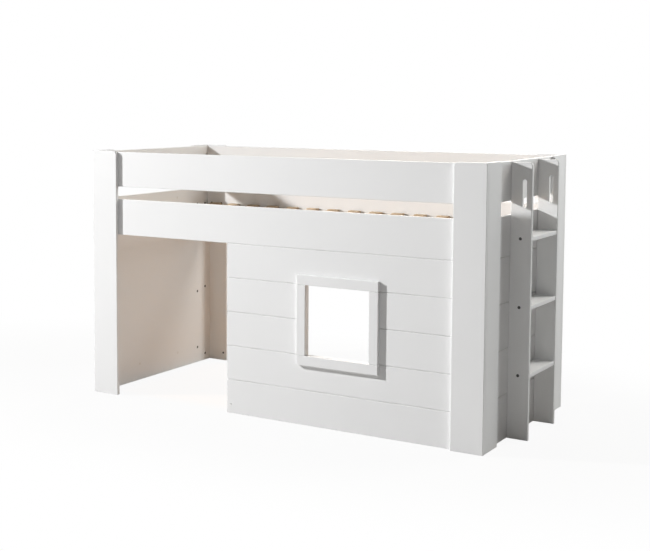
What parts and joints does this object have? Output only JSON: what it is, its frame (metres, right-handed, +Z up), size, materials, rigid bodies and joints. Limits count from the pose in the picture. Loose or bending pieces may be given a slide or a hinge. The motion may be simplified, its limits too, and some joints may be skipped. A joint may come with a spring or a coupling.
{
  "type": "loft bed",
  "caption": "White mid-sleeper loft bed with guard boards, a grooved play panel with a framed window, an end ladder with hand slots and a lift-out slatted base.",
  "frame": {"origin": "on the floor, under the middle of the outline of bed and ladder", "axes": "+X along the bed towards the ladder end, -Y out of the front with the play panel, +Z up"},
  "size_m": [2.157, 0.976, 1.212],
  "materials": {
    "white_board": "satin white lacquer on fibreboard",
    "slat_wood": "clear lacquered laminated wood",
    "pine": "planed softwood",
    "tan_plastic": "moulded matt",
    "dark_metal": "blackened steel",
    "steel": "zinc plated",
    "white_plastic": "moulded"
  },
  "bodies": {
    "bed_frame": {"barrel_nuts": "steel", "cover_plugs": "white_plastic", "dowels": "slat_wood", "frame_bolts": "dark_metal", "frame_inserts": "dark_metal", "front_guard": "white_board", "front_ledger": "pine", "front_left_post_face": "white_board", "front_left_post_side": "white_board", "front_rail": "white_board", "front_right_post_face": "white_board", "front_right_post_side": "white_board", "ladder_bolts": "dark_metal", "ladder_front_stile": "white_board", "ladder_rear_stile": "white_board", "ladder_step_1": "white_board", "ladder_step_2": "white_board", "ladder_step_3": "white_board", "ledger_screws": "steel", "left_end_guard": "white_board", "left_end_panel": "white_board", "play_panel": "white_board", "rear_guard": "white_board", "rear_ledger": "pine", "rear_left_post_face": "white_board", "rear_left_post_side": "white_board", "rear_rail": "white_board", "rear_right_post_face": "white_board", "rear_right_post_side": "white_board", "right_end_guard": "white_board", "right_end_panel": "white_board", "step_bolts": "dark_metal", "window_frame_bottom": "white_board", "window_frame_left": "white_board", "window_frame_right": "white_board", "window_frame_top": "white_board", "window_screws": "steel"},
    "slatted_base": {"base_front_batten": "pine", "base_rear_batten": "pine", "front_slat_caps": "tan_plastic", "rear_slat_caps": "tan_plastic", "slat_01": "slat_wood", "slat_02": "slat_wood", "slat_03": "slat_wood", "slat_04": "slat_wood", "slat_05": "slat_wood", "slat_06": "slat_wood", "slat_07": "slat_wood", "slat_08": "slat_wood", "slat_09": "slat_wood", "slat_10": "slat_wood", "slat_11": "slat_wood", "slat_12": "slat_wood", "slat_13": "slat_wood", "slat_14": "slat_wood", "slat_15": "slat_wood", "slat_16": "slat_wood"}
  },
  "joints": [
    {"name": "slatted_base_lift", "type": "slide", "parent": "bed_frame", "child": "slatted_base", "axis": [0, 0, 1], "range_m": [0, 0.4]}
  ]
}
